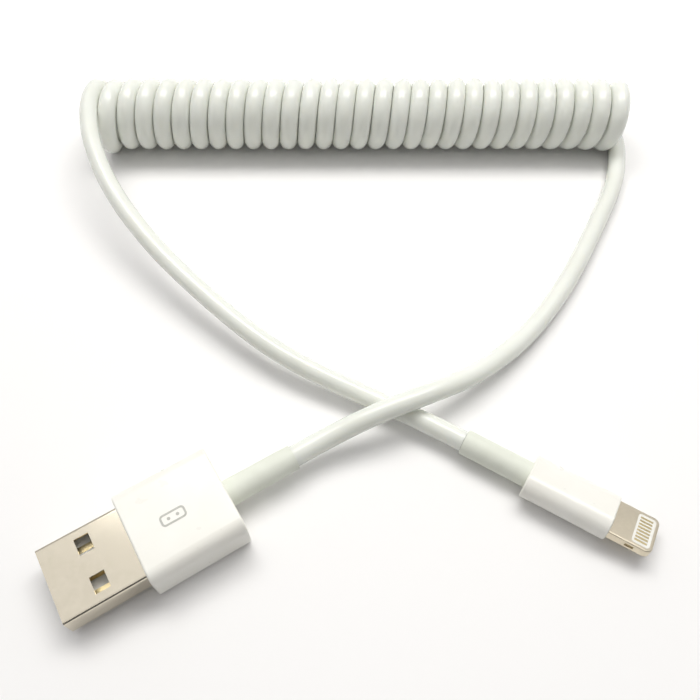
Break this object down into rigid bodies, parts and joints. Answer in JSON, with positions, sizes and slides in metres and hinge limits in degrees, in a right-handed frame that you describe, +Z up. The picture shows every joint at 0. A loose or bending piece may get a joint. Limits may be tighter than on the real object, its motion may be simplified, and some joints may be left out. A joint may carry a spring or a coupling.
{
  "type": "coiled charging cable",
  "caption": "Coiled charging cable: a wide flat metal-shelled plug and a small flat tongue plug, each with a moulded grip and strain relief, joined by a tightly coiled round cord.",
  "frame": {"origin": "centre of the box round the two plugs with their strain reliefs, seen from above, at the surface that the cable lies on", "axes": "+X along the coil, from the small plug's end of the coil to the wide plug's end; +Y from the plugs towards the coil; +Z up from the surface"},
  "size_m": [0.1124, 0.1082, 0.0139],
  "materials": {
    "shell_nickel": "bright drawn nickel plating, lightly brushed along its length",
    "shield_steel": "plain tin-plated steel",
    "white_insulator": "white moulded nylon, matt",
    "contact_gold": "thin gold plating, satin",
    "tongue_steel": "fine satin nickel-plated steel",
    "solder": "bright tin solder",
    "crimp_metal": "plain crimped steel",
    "wire_red": "thin coloured insulation",
    "wire_white": "thin coloured insulation",
    "wire_green": "thin coloured insulation",
    "wire_black": "thin coloured insulation",
    "inner_mould": "hard milky inner moulding",
    "grip_white": "glossy white moulded grip",
    "mark_grey": "pale grey pad-printed ink",
    "relief_white": "soft off-white strain relief, matt",
    "cord_white": "glossy flexible white jacket",
    "board_green": "green solder mask",
    "chip_black": "black moulded chip package",
    "capacitor_tan": "fired ceramic"
  },
  "bodies": {
    "root": {"usb_shell": "shell_nickel", "usb_insulator": "white_insulator", "usb_contact_vbus": "contact_gold", "usb_contact_data_minus": "contact_gold", "usb_contact_data_plus": "contact_gold", "usb_contact_ground": "contact_gold", "usb_rear_shield": "shield_steel", "usb_crimp_ring": "crimp_metal", "usb_solder_joints": "solder", "usb_wire_red": "wire_red", "usb_wire_white": "wire_white", "usb_wire_green": "wire_green", "usb_wire_black": "wire_black", "usb_inner_mould": "inner_mould", "usb_overmould": "grip_white", "usb_mark": "mark_grey", "usb_strain_relief": "relief_white", "usb_jacket_end": "cord_white", "device_tongue_frame": "tongue_steel", "device_contact_insert_top": "white_insulator", "device_contact_insert_bottom": "white_insulator", "device_contacts_top": "contact_gold", "device_contacts_bottom": "contact_gold", "device_circuit_board": "board_green", "device_control_chip": "chip_black", "device_capacitors": "capacitor_tan", "device_shield_top": "shield_steel", "device_shield_bottom": "shield_steel", "device_solder_joints": "solder", "device_wire_red": "wire_red", "device_wire_white": "wire_white", "device_wire_green": "wire_green", "device_wire_black": "wire_black", "device_crimp_ring": "crimp_metal", "device_inner_mould": "inner_mould", "device_overmould": "grip_white", "device_strain_relief": "relief_white", "device_jacket_end": "cord_white", "usb_lead": "cord_white", "coil": "cord_white", "device_lead": "cord_white"}
  },
  "joints": []
}
